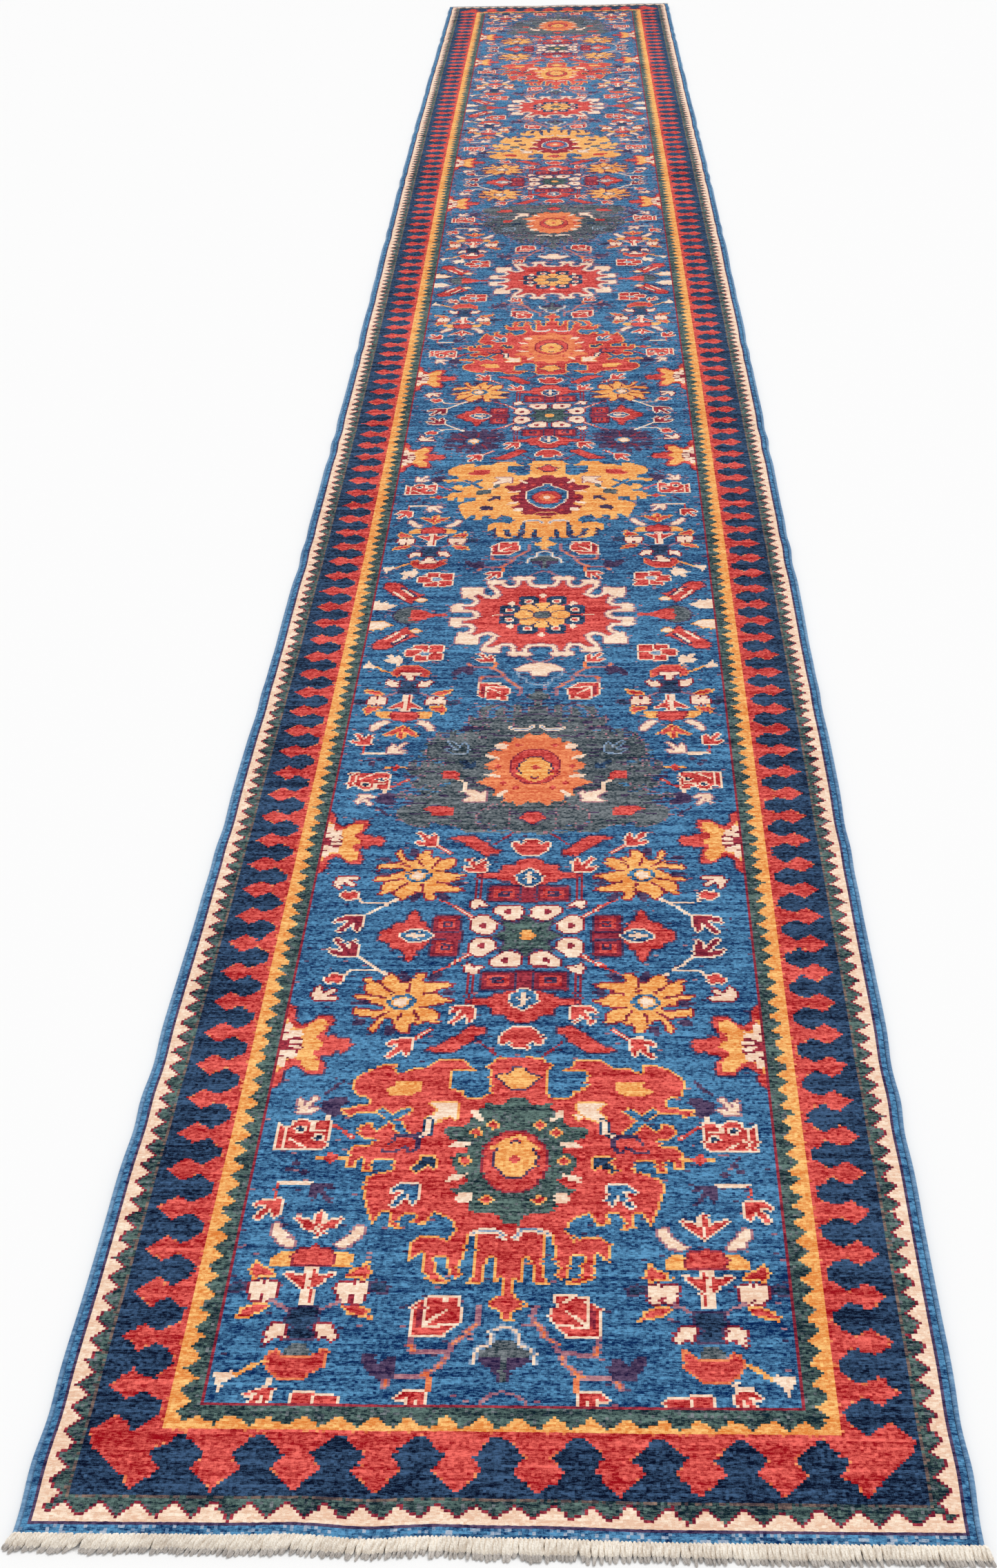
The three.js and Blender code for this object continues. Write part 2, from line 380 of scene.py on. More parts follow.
# Beside the great palmette: an eye square, small buds and hooks, and the tall side plant whose
# two pinwheel flowers hang from a red stem.
def draw_side_motifs(chart, colour):
    eye_square = [(201, 352), (201, 382), (208, 391), (261, 391), (261, 344), (254, 352), (248, 352),
                  (244, 341), (228, 339), (222, 348), (212, 341), (201, 342)]
    chart.tie(chart.inside(eye_square), "madder", "ivory")
    chart.tie(chart.path([(250, 384), (250, 356)], 3.6), "ivory")
    chart.tie(chart.path([(208, 358), (222, 358), (222, 346)], 3.6), "ivory")
    chart.tie(chart.path([(226, 386), (244, 372)], 3.2), "ivory")
    for x, y in ((214, 370), (235, 356)):
        chart.tie(chart.oval(x, y, 7, 6.5), "ivory")
        chart.tie(chart.oval(x, y, 3.8, 3.8), "navy")
    chart.tie(chart.path([(176, 370), (200, 349)], 5), "ivory", "madder")
    chart.tie(chart.path([(182, 402), (212, 402)], 3.4), "gold")
    chart.tie(chart.inside([(188, 401), (196, 411), (206, 402), (197, 391)]), "madder")
    chart.tie(chart.path([(207, 340), (207, 326)], 6), "madder", "ivory")
    chart.tie(chart.inside(tulip(244, 330, -1, -1, 0.85)), "ivory", "rose", outside=True)
    chart.tie(chart.inside([(190, 330), (200, 336), (214, 330), (218, 312), (204, 304), (192, 302),
                            (186, 312), (196, 318)]), "plum")
    chart.tie(chart.path([(196, 276), (214, 298)], 4.5), "plum")

    # a red bud and its partner at the two ends of a bent stem
    chart.tie(chart.path([(248, 470), (248, 441), (212, 441)], 5), "ivory")
    chart.tie(chart.path([(248, 470), (248, 441), (212, 441)], 2.5), "madder")
    chart.tie(chart.inside(tulip(240, 465, 1, 1, 0.95)), "madder", "ivory", outside=True)
    partner = "plum" if colour == "madder" else "ivory"
    chart.tie(chart.inside(tulip(213, 440, -1, 1, 0.95)), partner, "rose" if partner == "ivory" else None,
              outside=True)
    for x, y in ((222, 424), (238, 420), (232, 410)):
        chart.tie(chart.oval(x, y, 5, 4), "plum")

    axis = 197
    def both(outline):
        return outline, [(2 * axis - x, y) for x, y in outline]
    # trefoil, red knop with gold shoulders, and two ivory drops
    for outline in both([(axis, 520), (axis - 9, 511), (axis - 25, 492), (axis - 13, 495), (axis - 5, 503),
                         (axis - 4, 486), (axis + 1, 484)]):
        chart.tie(chart.inside(outline), "madder", "ivory" if colour == "madder" else "gold", outside=True)
    for outline in both([(axis - 22, 535), (axis - 36, 531), (axis - 46, 516), (axis - 48, 506),
                         (axis - 40, 504), (axis - 34, 514), (axis - 21, 527)]):
        chart.tie(chart.inside(outline), "ivory", "rose", outside=True)
    for outline in both([(axis - 19, 562), (axis - 42, 562), (axis - 42, 550), (axis - 32, 540),
                         (axis - 19, 541)]):
        chart.tie(chart.inside(outline), "gold")
    chart.tie(chart.inside([(176, 560), (218, 560), (221, 548), (214, 535), (202, 535), (197, 526),
                            (192, 535), (180, 535), (173, 548)]), "madder", "burgundy")
    # the stem with its two slips
    half_stem = [(axis - 7, 562), (axis - 7, 572), (axis - 24, 566), (axis - 27, 572), (axis - 8, 590),
                 (axis - 7, 612), (axis, 612), (axis, 562)]
    for outline in both(half_stem):
        chart.tie(chart.inside(outline), "madder", "ivory")
    # pinwheel flowers and their leaves
    for side in (-1, 1):
        x = axis + side * 44
        wings = (
            [(x - 12, 604), (x - 2, 608), (x - 2, 594), (x - 14, 590)],
            [(x + 2, 594), (x + 2, 608), (x + 12, 604), (x + 12, 592)],
            [(x - 14, 596), (x - 14, 582), (x - 2, 580), (x, 596)],
            [(x - 2, 596), (x + 2, 580), (x + 15, 583), (x + 14, 596)],
        )
        chart.tie(chart.inside(*wings), "ivory", "burgundy", outside=True)
        leaves = (
            ((-12, 612), (-2, 622), (24, 630), (20, 616), (4, 608)),
            ((-10, 576), (14, 578), (19, 566), (12, 550), (6, 560), (-6, 564)),
            ((16, 594), (34, 598), (38, 586), (26, 580), (16, 582)),
        )
        upper, lower, dark = ([(x + side * out, y) for out, y in leaf] for leaf in leaves)
        chart.tie(chart.inside(upper, lower), "madder", "gold")
        chart.tie(chart.inside(dark), "navy", "plum")
        chart.tie(chart.path([(axis + side * 16, 618), (axis + side * 34, 606)], 4.5), "rose")
    # navy block with ivory horns, and the fan above it
    chart.tie(chart.inside([(181, 615), (181, 634), (188, 640), (181, 648), (184, 658), (211, 658),
                            (215, 648), (208, 640), (215, 632), (213, 615)]), "navy", "plum")
    for outline in both([(axis - 16, 653), (axis - 24, 652), (axis - 33, 660), (axis - 34, 648),
                         (axis - 28, 637), (axis - 15, 635)]):
        chart.tie(chart.inside(outline), "ivory", "burgundy", outside=True)
    fan = [(axis - 30, 668), (axis - 29, 684), (axis - 18, 698), (axis - 8, 706), (axis + 12, 706),
           (axis + 24, 698), (axis + 31, 684), (axis + 29, 670), (axis + 20, 666), (axis + 13, 676),
           (axis - 13, 676), (axis - 20, 666)]
    chart.tie(chart.inside(fan), "madder", "orange")
    if colour == "madder":
        foot = [(184, 676), (186, 668), (190, 660), (204, 660), (209, 668), (211, 676)]
        chart.tie(chart.inside(foot), "forest")
    else:
        foot = [(183, 680), (183, 674), (192, 670), (193, 658), (202, 658), (203, 670), (212, 674),
                (212, 680)]
        chart.tie(chart.inside(foot), "ivory", "burgundy", outside=True)
    chart.tie(chart.path([(230, 682), (256, 702)], 5), "gold")
    drop = [(252, 700), (262, 712), (266, 722), (269, 708), (276, 698), (256, 694)]
    chart.tie(chart.inside(drop), "ivory")
    chart.tie(chart.path([(220, 704), (220, 716)], 6), "madder", "ivory")
    last_bud = "madder" if colour == "madder" else "ivory"
    chart.tie(chart.inside(tulip(217, 714, 1, 1, 0.75)), last_bud, "ivory", outside=True)


# Between palmette and oval: leaf squares on a bent orange branch, a bud or a fan in a pale hoop, a
# five-square flower, a slanting boat-shaped leaf and an ivory hand.
def draw_link_motifs(chart, colour):
    branch = [(27, 612), (27, 632), (50, 660), (58, 682), (78, 700), (104, 700), (112, 712)]
    chart.tie(chart.path(branch, 7), "orange", "rose")
    chart.tie(chart.path([(52, 668), (88, 668), (90, 652)], 7), "orange", "rose")
    chart.tie(chart.path([(70, 700), (70, 716)], 6), "orange")
    leaf_square = [(44, 606), (42, 632), (50, 638), (58, 650), (93, 650), (93, 612), (82, 604), (78, 596),
                   (46, 596)]
    chart.tie(chart.inside(leaf_square), "madder", "ivory")
    chart.tie(chart.inside([(80, 612), (88, 616), (88, 642), (80, 634)]), "burgundy")
    for points in ([(58, 616), (78, 634)], [(60, 598), (60, 606)], [(50, 634), (80, 638), (80, 604)]):
        chart.tie(chart.path(points, 3.2), "ivory")
    chart.tie(chart.inside([(100, 690), (104, 702), (124, 700), (134, 684), (134, 671), (124, 674),
                            (118, 684), (112, 676), (102, 676)]), "plum")
    chart.tie(chart.inside(tulip(72, 716, 1, 1, 0.9)), "madder", "ivory", outside=True)
    if colour == "forest":
        bud = [(-9, 670), (10, 672), (16, 688), (36, 686), (38, 694), (24, 708), (-9, 716)]
        chart.tie(chart.inside(bud), "ivory", "rose", outside=True)
        chart.tie(chart.path([(34, 686), (32, 668), (20, 664), (18, 650), (0, 642)], 3.6), "pale_blue")
    else:
        fan = [(-9, 652), (12, 654), (24, 668), (22, 684), (10, 690), (4, 706), (-9, 708)]
        chart.tie(chart.inside(fan), "forest")
        chart.tie(chart.inside(fan) & (chart.y > 676) & (chart.x > 2), "plum")
        hoop = [(0, 636), (12, 642), (14, 660), (26, 664), (29, 682)]
        chart.tie(chart.path(hoop, 6), "pale_blue")
        chart.tie(chart.path(hoop, 3), "ivory")
    chart.tie(chart.path([(0, 716), (10, 720), (26, 734)], 3.2), "rose")

    for x, y, across, along in ((164, 760, 11, 11), (188, 763, 11, 9), (198, 746, 11, 10),
                                (185, 728, 11, 9), (163, 735, 10, 12)):
        chart.tie(chart.inside(block(x, y, across, along)), "madder", "ivory", outside=True)
    chart.tie(chart.oval(179, 744, 8, 7), "pale_blue", "ivory", outside=True)

    boat = [(190, 800), (204, 814), (214, 839), (226, 830), (246, 806), (269, 776), (264, 757), (240, 757),
            (224, 776), (206, 796)]
    chart.tie(chart.inside(boat), "madder", "plum")
    chart.tie(chart.path([(212, 806), (234, 778)], 9), "plum")
    chart.tie(chart.path([(214, 808), (232, 782)], 4.5), "ivory")
    chart.tie(chart.path([(226, 820), (248, 790)], 4.5), "ivory")
    chart.tie(chart.oval(200, 822, 7, 6), "ivory", "gold", outside=True)
    hand = [(236, 842), (246, 850), (254, 859), (276, 859), (277, 828), (268, 822), (266, 829), (256, 826),
            (248, 836)]
    chart.tie(chart.inside(hand), "ivory", "gold" if colour == "forest" else None)


# The oval medallion: a red ground inside a thick ivory line that is battlemented all round, with
# eight navy eggs and a gold flower at its heart, and a fan at each side.
OVAL = 877.5


def draw_oval(chart):
    line = [
        (-9, 773), (18, 771), (23, 760), (23, 745), (42, 745), (42, 762), (47, 774), (60, 775), (68, 764),
        (70, 757), (87, 757), (87, 772), (77, 790), (73, 804), (84, 814), (96, 808), (105, 795), (127, 792),
        (127, 808), (111, 819), (107, 831), (114, 842), (128, 842), (142, 842), (144, 864), (122, 862),
        (108, 867), (105, 880), (105, 900),
    ]
    chart.tie(chart.path([(146, 860), (158, 872), (170, 878)], 3.2), "rose")
    chart.tie(chart.inside(line + [(-9, 900)]), "madder")
    battlements = (
        [(15, 737), (15, 748), (50, 750), (50, 739), (40, 735), (32, 738), (26, 735)],
        [(62, 752), (70, 766), (92, 766), (92, 750), (80, 748)],
        [(100, 777), (100, 796), (118, 812), (132, 816), (134, 796), (134, 777)],
        [(128, 838), (128, 866), (147, 866), (143, 858), (150, 854), (141, 849), (146, 841), (138, 836)],
    )
    ivory_line = chart.path(line, 7) | chart.inside(*battlements)
    chart.tie(ivory_line, "ivory", "rose", outside=True)

    for x, y in ((23, 829), (53, 860)):
        egg = [(x - 17, y - 12), (x - 12, y - 18), (x + 12, y - 18), (x + 17, y - 12), (x + 17, y + 10),
               (x + 8, y + 17), (x - 10, y + 17), (x - 17, y + 10)]
        chart.tie(chart.inside(egg), "navy")
        chart.tie(chart.oval(x, y, 8.5, 8.5), "ivory")
        chart.tie(chart.oval(x, y, 4.6, 4.6), "madder")
    for x, y, across, along in ((0, 808, 5, 8), (50, 837, 6, 8), (72, 882, 10, 7)):
        chart.tie(chart.oval(x, y, across, along), "ivory")
    chart.tie(chart.oval(0, OVAL, 36, 38), "navy")
    for k in range(-2, 3):
        angle = 45 * k
        chart.tie(chart.inside(petal(0, OVAL, angle, 10, 46, 17)), "plum")
        chart.tie(chart.inside(petal(0, OVAL, angle, 10, 46, 14)), "gold")
    chart.tie(chart.oval(0, OVAL, 15, 14), "forest", "plum")

    flare = mirrored([(154, 881), (168, 881), (182, 888), (196, 896), (212, 896)], OVAL)
    chart.tie(chart.oval(217, OVAL, 25, 31), "forest", "plum")
    chart.tie(chart.inside(flare), "madder")


# The field repeats one pattern unit, from a square flower to an oval, turned over at each end.
FIELD_HALF = 92
UNIT_ROWS = 293


def draw_unit(colour, wreath, daisy_wool, seed):
    """Half the field's width, from the middle of a square flower to the middle of an oval."""
    chart = Chart(0, 0, FIELD_HALF, UNIT_ROWS, "field_blue")
    draw_square_flower(chart, daisy_wool)
    draw_border_rosette(chart)
    draw_side_motifs(chart, colour)
    draw_link_motifs(chart, colour)
    draw_palmette(chart, colour, wreath, seed)
    draw_oval(chart)
    return np.hstack([chart.wool[:, ::-1], chart.wool])


# The whole rug's chart: five bands of border round the field, and eight pattern units in a row up
# the field. It runs from one end of the pile to the other, 276 knots across and 2309 rows along.
COLUMNS, ROWS = 276, 2309
BANDS = ("edge_band", "outer_guard", "main_border", "inner_guard", "field_stripe", "field")
BAND_REACH = ((8, 13), (36, 39), (106, 111), (134, 138), (138, 141))  # from the side, from the end

rug = Chart(-COLUMNS * KNOT / 2, 0, COLUMNS, ROWS, "field_blue")
from_side = COLUMNS * KNOT / 2 - abs(rug.x)
from_end = np.minimum(rug.y, ROWS * KNOT - rug.y)
band = np.zeros(rug.wool.shape, np.uint8)
for side_reach, end_reach in BAND_REACH:
    band += (from_side >= side_reach) & (from_end >= end_reach)


def teeth(along, pitch):
    """A zigzag that runs from 0 in its notches to 1 at its points."""
    return 1 - abs(2 * (along / pitch % 1) - 1)


def lobes(along, middle, pitch, reach, profile):
    """A row of stepped lobes, whose profile is pairs of a reach from the outside and a half width."""
    off = abs((along - middle + pitch / 2) % pitch - pitch / 2)
    return off < np.interp(reach, [p[0] for p in profile], [p[1] for p in profile])


def guard(number, base, side_pitch, end_pitch, side_start, side_height, end_start, end_height):
    """A guard border: teeth of one wool that stand on the outside, with another behind them."""
    ground = band == number
    side = from_side - BAND_REACH[number - 1][0] < side_start + side_height * teeth(rug.y, side_pitch)
    end = from_end - BAND_REACH[number - 1][1] < end_start + end_height * teeth(rug.x, end_pitch)
    rug.wool[ground] = WOOLS.index(base)
    return ground & (side | end)


outer_teeth = guard(1, "green", side_pitch=27, end_pitch=33.2, side_start=6, side_height=12,
                    end_start=3, end_height=15)
rug.tie(outer_teeth, "ivory", "burgundy", outside=True)
hairline = (band == 1) & (from_side > 33) & (from_end > 36)
rug.tie(hairline & (np.random.default_rng(3).random(hairline.shape) < 0.75), "umber")
inner_teeth = guard(3, "green", side_pitch=26, end_pitch=32.8, side_start=8, side_height=12,
                    end_start=3, end_height=14)
rug.tie(inner_teeth, "gold")
rug.tie(band == 4, "burgundy")
rug.tie(band == 0, "field_blue")
speckle = np.random.default_rng(8).random((ROWS, COLUMNS))
rug.tie((band == 0) & (from_end < 13) & (speckle < 0.2), "pale_blue")
rug.tie((band == 0) & (from_side > 5) & (from_end > 9), "plum")

# main border: stepped red lobes that reach out into navy, drawn apart along the sides, along the
# ends and in the corners, as the weaver does it
SIDE_LOBES = ((9, 0), (28, 18), (45, 7), (63, 22), (66, 40))
END_LOBES = ((5, 0), (29, 23), (44.5, 12), (64.5, 31), (66, 40))
CORNER = [(89, 45), (74, 62), (54, 81), (41, 96), (40, 108), (59, 128), (81, 111), (98, 125), (106, 128),
          (106, 111), (119, 111), (119, 98), (98, 86), (110, 67)]
side_red = (from_end >= 132) & lobes(rug.y, 161.6, 57.94, from_side - 36, SIDE_LOBES)
end_red = (from_side >= 122) & lobes(rug.x, 36.1, 72.25, from_end - 39, END_LOBES)
corner = Chart(0, 0, 41, 44, "navy")
corner_red = corner.inside(CORNER)
near_corner = corner_red | (corner.x > 100) & (corner.y > 105)
corner_rows, corner_columns = corner_red.shape
red = side_red | end_red
for rows in (slice(None), slice(None, None, -1)):
    for columns in (slice(None), slice(None, None, -1)):
        red[rows, columns][:corner_rows, :corner_columns] |= near_corner
rug.tie(band == 2, "navy")
red &= band == 2
rug.tie(red, "madder", "orange")
# only stray knots are left of the orange round the red
rug.tie(red & (np.random.default_rng(4).random(red.shape) < 0.85), "madder")

# the field: units meet at the middles of the square flowers and of the ovals
SQUARE_FLOWERS = (291, 876, 1461, 2046)
UNITS = (
    ("madder", "green", "gold"), ("forest", "orange", "gold"), ("gold", "burgundy", "plum"),
    ("madder", "orange", "gold"), ("forest", "orange", "gold"), ("gold", "burgundy", "gold"),
    ("madder", "gold", "gold"), ("forest", "orange", "gold"),
)
for number, (colour, wreath, daisy_wool) in enumerate(UNITS):
    unit = draw_unit(colour, wreath, daisy_wool, number)
    start = SQUARE_FLOWERS[number // 2]
    if number % 2:
        first, last = start, min(start + UNIT_ROWS, ROWS)
        unit = unit[:last - first]
    else:
        first, last = max(start - UNIT_ROWS, 0), start
        unit = unit[:last - first][::-1]
    columns = slice(COLUMNS // 2 - FIELD_HALF, COLUMNS // 2 + FIELD_HALF)
    part = rug.wool[first:last, columns]
    inside = band[first:last, columns] == 5
    part[inside] = unit[inside]

# the blue ground takes up stray plum and rose knots close to the motifs, more of them up the rug
ground = (rug.wool == WOOLS.index("field_blue")) & (band == 5)
near_motif = ~ground
for _ in range(4):
    near_motif[1:-1, 1:-1] |= (near_motif[:-2, 1:-1] | near_motif[2:, 1:-1] | near_motif[1:-1, :-2]
                               | near_motif[1:-1, 2:])
stray_share = np.interp(np.arange(ROWS), (300, 800, 1250, 1600), (0.02, 0.08, 0.26, 0.36))[:, None]
strays = np.random.default_rng(9).random((ROWS, COLUMNS // 2))[:, np.arange(COLUMNS) // 2]
rug.tie(ground & near_motif & (strays < stray_share), "plum")
rug.tie(ground & near_motif & (strays < 0.45 * stray_share), "rose")

# the green is spun from mixed fleeces, so greyer knots speckle it
green = rug.wool == WOOLS.index("green")
rug.tie(green & (speckle < 0.14), "forest")

# No weaver counts without a slip: here and there a run of knots lies one knot aside, or a row off.
slips = np.random.default_rng(7)
every_row, every_column = np.arange(ROWS)[:, None], np.arange(COLUMNS)
slip_x = slips.normal(size=(ROWS, COLUMNS // 12 + 2))[:, every_column // 12]
slip_x = np.rint(0.30 * slip_x).astype(int).clip(-1, 1)
slip_y = slips.normal(size=(ROWS // 3 + 1, COLUMNS // 7 + 2))[every_row // 3, every_column // 7]
slip_y = np.rint(0.27 * slip_y).astype(int).clip(-1, 1)
slipped_row = (every_row + slip_y).clip(0, ROWS - 1)
slipped_column = (every_column + slip_x).clip(0, COLUMNS - 1)
moved = (band > 0) & (band[slipped_row, slipped_column] == band)
rug.wool[moved] = rug.wool[slipped_row, slipped_column][moved]

# ---------------------------------------------------------------------------------------------
# The foundation: cotton warps with the wefts beaten down between them, a firm cloth 2.5 mm thick
# that the knots stand on. It lies on the floor, bowed a little to one side along its length and
# wider past its middle, and every other piece follows the same lie.
FOUNDATION_LOW, FOUNDATION_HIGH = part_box("foundation_web")
LENGTH = FOUNDATION_HIGH.y - FOUNDATION_LOW.y
WIDTH = FOUNDATION_HIGH.x - FOUNDATION_LOW.x
# the rug's width, as a share of the straight rug's: least at its ends, most past its middle
LEAST_WIDE = 0.987
WIDER = 0.019
WIDEST_AT = 0.635
# how far it lies to the right: over the whole length, at its middle, and more in its near half
ASIDE = 0.0014
BOW = 0.014
BOW_SHIFT = 0.005
# low waves lift it off the floor, and its two ends lift a little more
WAVE_RISE = 0.0018
END_RISE = 0.0012
END_REACH = 0.07
# the near end has crept out by about 5 mm in one slow wave, with a ripple left of its middle
CREEP = 0.0048
CREEP_WAVE = 0.0012
CREEP_RIPPLE = 0.0022
# its long edges wander by about a millimetre
EDGE_WANDER = 0.0011
EDGE_REACH = 0.03


def lie(place):
    """Moves points of the straight rug, an array of x, y, z rows, to where the rug really lies."""
    x, y, z = place.T
    part = y / LENGTH + 0.5
    wide = LEAST_WIDE + WIDER * np.exp(-((part - WIDEST_AT) / 0.245) ** 2)
    bow = ASIDE + BOW * np.sin(np.pi * part) + BOW_SHIFT * np.sin(2 * np.pi * part)
    wave = np.sin(9.2 * y + 2.1 * np.sin(4.1 * x + 1.3 * y)) * np.sin(2.3 * y + 5.0 * x + 0.8)
    rise = WAVE_RISE * np.clip(wave, 0, 1) * np.clip(abs(x) / 0.3, 0.2, 1)
    near_end = np.exp((-y - LENGTH / 2) / END_REACH)
    far_end = np.exp((y - LENGTH / 2) / END_REACH)
    rise += (near_end + far_end) * END_RISE * (1 + np.sin(16 * x + 0.9 + 1.6 * np.sin(9 * x)))
    creep = CREEP + CREEP_WAVE * np.sin(9 * x - 1)
    creep += CREEP_RIPPLE * np.sin(48 * x + 0.8) * np.exp(-((x + 0.11) / 0.1) ** 2)
    edge = np.exp((abs(x) - WIDTH / 2) / EDGE_REACH)
    wander = edge * EDGE_WANDER * np.sin(31 * y + 2 * np.sin(13 * y)) * np.sin(5 * y)
    return np.stack([(x + np.sign(x) * wander) * wide + bow, y - near_end * creep, z + rise], 1)


def points_of(mesh):
    place = np.empty(len(mesh.vertices) * 3, np.float32)
    mesh.vertices.foreach_get("co", place)
    return place.reshape(-1, 3).astype(float)


def move_points(mesh, place):
    mesh.vertices.foreach_set("co", place.astype(np.float32).ravel())
    mesh.update()


def piece_of(shape, name, material):
    """Makes a finished bmesh into a piece of the rug."""
    mesh = bpy.data.meshes.new(name)
    shape.to_mesh(mesh)
    shape.free()
    mesh.materials.append(material)
    piece = bpy.data.objects.new(name, mesh)
    bpy.context.collection.objects.link(piece)
    return piece


class Socket:
    """A shader socket that can stand in an expression; each operation adds its Math node."""

    def __init__(self, material, socket):
        self.material, self.socket = material, socket

    def maths(self, operation, first, second):
        return node(self.material, "ShaderNodeMath", {"operation": operation}, {0: first, 1: second})[0]

    def __add__(self, other):
        return self.maths("ADD", self, other)

    def __sub__(self, other):
        return self.maths("SUBTRACT", self, other)

    def __rsub__(self, other):
        return self.maths("SUBTRACT", other, self)

    def __mul__(self, other):
        return self.maths("MULTIPLY", self, other)

    __radd__ = __add__
    __rmul__ = __mul__


def node(material, kind, settings=None, inputs=None):
    """Adds any shader node and returns its outputs, as Sockets."""
    tree = material.node_tree
    made = tree.nodes.new(kind)
    for name, value in (settings or {}).items():
        setattr(made, name, value)
    for name, value in (inputs or {}).items():
        if isinstance(value, Socket):
            tree.links.new(value.socket, made.inputs[name])
        else:
            made.inputs[name].default_value = value
    return [Socket(material, socket) for socket in made.outputs]


def swatch(red, green, blue):
    """A dyer's swatch, in the usual 0 to 255 steps, as the shader's linear colour."""
    steps = [c / 255 for c in (red, green, blue)]
    return [s / 12.92 if s < 0.04045 else ((s + 0.055) / 1.055) ** 2.4 for s in steps] + [1]


def new_material(name):
    material = bpy.data.materials.new(name)
    material.use_nodes = True
    material.node_tree.nodes.clear()
    return material


def finish_material(material, inputs):
    shader = node(material, "ShaderNodeBsdfPrincipled", None, inputs)
    node(material, "ShaderNodeOutputMaterial", None, {"Surface": shader[0]})


def cotton(name, deep, light, grain, bump_depth):
    """Undyed cotton yarn: a blotchy cream with fine lint, and painted shade in the grooves of its plies."""
    material = new_material(name)
    place = node(material, "ShaderNodeTexCoord")[3]
    long_way = node(material, "ShaderNodeMapping", None, {"Vector": place, "Scale": grain})[0]
    lint = node(material, "ShaderNodeTexNoise", None, {"Vector": long_way, "Scale": 1.0, "Detail": 3.0})[0]
    blotch = node(material, "ShaderNodeTexNoise", None, {"Vector": place, "Scale": 55.0, "Detail": 2.0})[0]
    # the ply attribute darkens the grooves between the plies: painted shade
    ply = node(material, "ShaderNodeAttribute", {"attribute_name": "ply"})[2]
    mixed = node(material, "ShaderNodeMapRange", None, {
        "Value": lint * 0.6 + blotch * 0.4 + ply * 0.11, "From Min": 0.32, "From Max": 0.62})[0]
    colour = node(material, "ShaderNodeMix", {"data_type": "RGBA"}, {0: mixed, 6: deep, 7: light})[2]
    normal = node(material, "ShaderNodeBump", None, {
        "Strength": 0.6, "Distance": bump_depth, "Height": lint})[0]
    finish_material(material, {"Base Color": colour, "Roughness": 0.92, "Normal": normal,
                               "Sheen Weight": 0.15, "Sheen Roughness": 0.6, "Specular IOR Level": 0.25})
    return material


web = bmesh.new()
bmesh.ops.create_grid(web, x_segments=28, y_segments=232, size=0.5)
bmesh.ops.scale(web, vec=(WIDTH, LENGTH, 1), verts=web.verts)
top = bmesh.ops.extrude_face_region(web, geom=web.faces[:])
bmesh.ops.translate(web, vec=(0, 0, FOUNDATION_HIGH.z), verts=[v for v in top["geom"]
                                                                if isinstance(v, bmesh.types.BMVert)])
bmesh.ops.recalc_face_normals(web, faces=web.faces)
foundation_cotton = cotton("foundation_cotton", swatch(196, 182, 160), swatch(232, 222, 204),
                           (900.0, 300.0, 900.0), 0.0004)
foundation = piece_of(web, "cotton_foundation", foundation_cotton)
move_points(foundation.data, lie(points_of(foundation.data)))
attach(foundation, "root")
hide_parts("foundation_web")

# ---------------------------------------------------------------------------------------------
# The pile: hand-knotted wool, cut to one height and tied row by row from the chart. Each knot is
# one square here, and each band's knots of one wool make one piece, so that every colour's edge
# is a real edge. The dyes took unevenly, which leaves short pale and dark streaks along the rows.
PILE_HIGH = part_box("field")[1].z
SWATCHES = {
    "field_blue": ((0, 34, 82), (94, 154, 196)),
    "navy": ((0, 8, 34), (66, 96, 132)),
    "pale_blue": ((84, 120, 156), (182, 192, 206)),
    "madder": ((150, 4, 20), (248, 112, 102)),
    "burgundy": ((96, 16, 40), (184, 66, 78)),
    "gold": ((220, 126, 56), (255, 206, 130)),
    "orange": ((204, 88, 56), (250, 160, 108)),
    "ivory": ((228, 186, 158), (254, 236, 214)),
    "forest": ((8, 36, 48), (132, 138, 142)),
    "plum": ((28, 18, 56), (102, 82, 112)),
    "green": ((6, 27, 39), (106, 131, 124)),
    "umber": ((70, 58, 62), (152, 126, 112)),
    "rose": ((132, 78, 100), (196, 144, 148)),
}


def wool(name):
    """Dyed pile wool: dye depth and painted sheen come from the knots; fibres show as fine lint."""
    deep, light = (swatch(*colour) for colour in SWATCHES[name])
    material = new_material("wool_" + name)
    dye = node(material, "ShaderNodeAttribute", {"attribute_name": "dye"})[2]
    place = node(material, "ShaderNodeTexCoord")[3]
    fibre = node(material, "ShaderNodeTexNoise", None, {
        "Vector": place, "Scale": 900.0, "Detail": 2.0, "Roughness": 0.6})[0]
    row_way = node(material, "ShaderNodeMapping", None, {
        "Vector": place, "Scale": (170.0, 640.0, 170.0)})[0]
    rows = node(material, "ShaderNodeTexNoise", None, {"Vector": row_way, "Scale": 1.0, "Detail": 2.0})[0]
    wear = node(material, "ShaderNodeTexNoise", None, {"Vector": place, "Scale": 9.0, "Detail": 3.0})[0]
    depth = dye + (rows - 0.5) * 1.9 + (fibre - 0.5) * 1.2 + (wear - 0.5) * 0.35
    colour = node(material, "ShaderNodeMix", {"data_type": "RGBA", "clamp_factor": True},
                  {0: depth, 6: deep, 7: light})[2]
    normal = node(material, "ShaderNodeBump", None, {
        "Strength": 0.55, "Distance": 0.0009, "Height": fibre})[0]
    finish_material(material, {"Base Color": colour, "Roughness": 0.9, "Normal": normal,
                               "Sheen Weight": 0.03, "Sheen Roughness": 0.5, "Specular IOR Level": 0.02})
    return material


